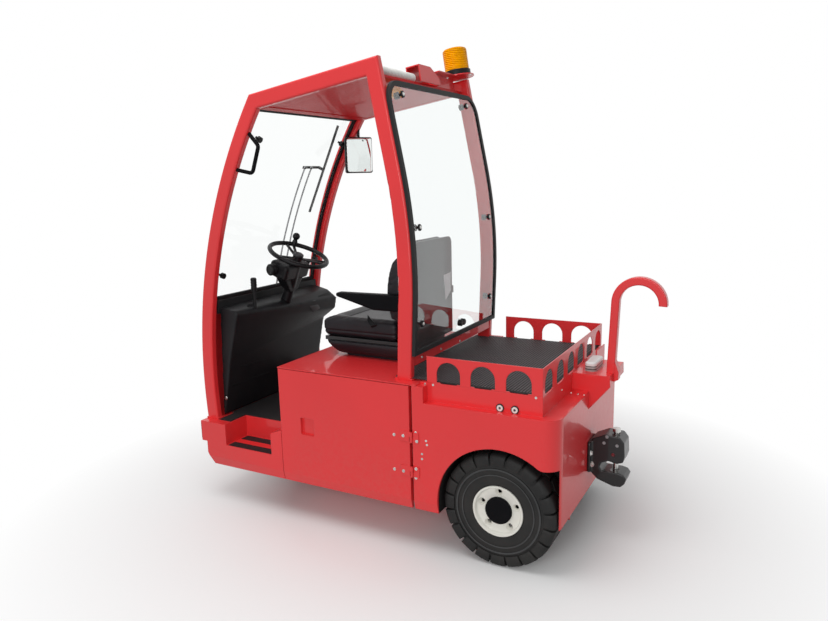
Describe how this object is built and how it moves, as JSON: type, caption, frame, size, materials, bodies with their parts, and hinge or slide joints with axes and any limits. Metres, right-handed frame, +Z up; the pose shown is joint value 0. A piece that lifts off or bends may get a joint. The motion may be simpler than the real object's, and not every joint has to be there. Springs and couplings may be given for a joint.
{
  "type": "airport baggage tug",
  "caption": "Electric baggage tug with one steered front wheel, an open-sided cab with curved windows, a railed load deck, lifting hook, rear tow coupling and battery doors.",
  "frame": {"origin": "middle of the overall box in X and Y, at ground level", "axes": "+X forward, +Y to the driver's left, +Z up"},
  "size_m": [2.386, 1.1286, 2.4476],
  "materials": {
    "red_paint": "gloss",
    "cream_paint": "gloss",
    "black_paint": "satin",
    "steel": "bright",
    "tyre": "matt",
    "rubber": "matt",
    "black_plastic": "matt",
    "white_plastic": "gloss",
    "seat_vinyl": "satin",
    "glass": "clear",
    "amber_lens": "gloss",
    "clear_lens": "gloss",
    "battery_case": "matt"
  },
  "bodies": {
    "vehicle": {"battery": "battery_case", "beacon_base": "black_plastic", "beacon_bracket": "red_paint", "beacon_lens": "amber_lens", "bumper_rubber": "rubber", "cab_frame_left": "red_paint", "cab_frame_right": "red_paint", "chassis_rails": "black_paint", "dashboard": "black_plastic", "deck_mat": "rubber", "deck_rail": "red_paint", "door_hinges": "red_paint", "driver_controls": "black_plastic", "floor_mats": "rubber", "front_body": "red_paint", "front_panel": "red_paint", "grab_handle": "black_paint", "headlamps": "clear_lens", "lifting_hook": "red_paint", "mirror": "black_plastic", "rear_axle": "black_paint", "rear_beam": "red_paint", "rear_body": "red_paint", "rear_bracket": "red_paint", "rear_lamp": "clear_lens", "rear_window": "glass", "rear_window_seal": "rubber", "roof": "red_paint", "roof_conduit": "white_plastic", "roof_lamp": "amber_lens", "seat_base": "black_plastic", "seat_box": "red_paint", "side_buttons": "white_plastic", "steering_column": "black_plastic", "tow_hitch": "black_paint", "window_knobs": "black_plastic", "windscreen": "glass", "windscreen_seal": "rubber", "wiper_bosses": "black_paint"},
    "rear_left_wheel": {"rear_left_tyre": "tyre", "rear_left_rim": "cream_paint", "rear_left_hub_cap": "black_plastic"},
    "rear_right_wheel": {"rear_right_tyre": "tyre", "rear_right_rim": "cream_paint", "rear_right_hub_cap": "black_plastic"},
    "steering_fork": {"front_fork": "black_paint"},
    "front_wheel": {"front_tyre": "tyre", "front_rim": "cream_paint"},
    "steering_wheel": {"steering_wheel": "black_plastic"},
    "left_door": {"door_left": "red_paint"},
    "right_door": {"door_right": "red_paint"},
    "seat": {"seat_pan": "black_paint", "seat_cushion": "seat_vinyl", "seat_backrest": "seat_vinyl"},
    "left_armrest": {"armrest_left": "black_plastic"},
    "right_armrest": {"armrest_right": "black_plastic"},
    "tow_pin": {"tow_pin": "steel"},
    "main_wiper_arm": {"wiper_arm_main": "black_paint"},
    "second_wiper_arm": {"wiper_arm_second": "black_paint"},
    "wiper_blade": {"wiper_blade": "black_paint"}
  },
  "joints": [
    {"name": "rear_left_wheel_spin", "type": "hinge", "parent": "vehicle", "child": "rear_left_wheel", "pos_m": [-0.58196, 0.445, 0.27], "axis": [0, 1, 0], "continuous": true},
    {"name": "rear_right_wheel_spin", "type": "hinge", "parent": "vehicle", "child": "rear_right_wheel", "pos_m": [-0.58196, -0.445, 0.27], "axis": [0, 1, 0], "continuous": true},
    {"name": "front_steer", "type": "hinge", "parent": "vehicle", "child": "steering_fork", "pos_m": [0.89804, 0, 0.426], "axis": [0, 0, 1], "range_deg": [-75, 75]},
    {"name": "front_wheel_spin", "type": "hinge", "parent": "steering_fork", "child": "front_wheel", "pos_m": [0.89804, 0, 0.2], "axis": [0, 1, 0], "continuous": true},
    {"name": "steering_wheel_turn", "type": "hinge", "parent": "vehicle", "child": "steering_wheel", "pos_m": [0.86304, 0, 1.331], "axis": [-0.3746, 0, 0.9272], "range_deg": [-380, 380]},
    {"name": "left_door_swing", "type": "hinge", "parent": "vehicle", "child": "left_door", "pos_m": [-0.16696, 0.5573, 0.396], "axis": [0, 0, 1], "range_deg": [0, 105]},
    {"name": "right_door_swing", "type": "hinge", "parent": "vehicle", "child": "right_door", "pos_m": [-0.16696, -0.5573, 0.396], "axis": [0, 0, -1], "range_deg": [0, 105]},
    {"name": "seat_slide", "type": "slide", "parent": "vehicle", "child": "seat", "axis": [1, 0, 0], "range_m": [-0.05, 0.09]},
    {"name": "left_armrest_tilt", "type": "hinge", "parent": "seat", "child": "left_armrest", "pos_m": [0.04804, 0.24, 1.14], "axis": [0, -1, 0], "range_deg": [0, 80]},
    {"name": "right_armrest_tilt", "type": "hinge", "parent": "seat", "child": "right_armrest", "pos_m": [0.04804, -0.24, 1.14], "axis": [0, -1, 0], "range_deg": [0, 80]},
    {"name": "tow_pin_lift", "type": "slide", "parent": "vehicle", "child": "tow_pin", "axis": [0, 0, 1], "range_m": [0, 0.095]},
    {"name": "main_wiper_swing", "type": "hinge", "parent": "vehicle", "child": "main_wiper_arm", "pos_m": [1.15856, -0.135, 1.10117], "axis": [-0.9033, 0, -0.4289], "range_deg": [0, 45]},
    {"name": "second_wiper_swing", "type": "hinge", "parent": "vehicle", "child": "second_wiper_arm", "pos_m": [1.15856, -0.199, 1.10117], "axis": [-0.9033, 0, -0.4289], "range_deg": [0, 45]},
    {"name": "wiper_blade_turn", "type": "hinge", "parent": "main_wiper_arm", "child": "wiper_blade", "pos_m": [0.93358, -0.19567, 1.82913], "axis": [-0.9033, 0, -0.4289], "range_deg": [-45, 0]}
  ],
  "couplings": [
    {"joint": "steering_wheel_turn", "follows": "front_steer", "ratio": 5},
    {"joint": "second_wiper_swing", "follows": "main_wiper_swing", "ratio": 1},
    {"joint": "wiper_blade_turn", "follows": "main_wiper_swing", "ratio": -1}
  ]
}
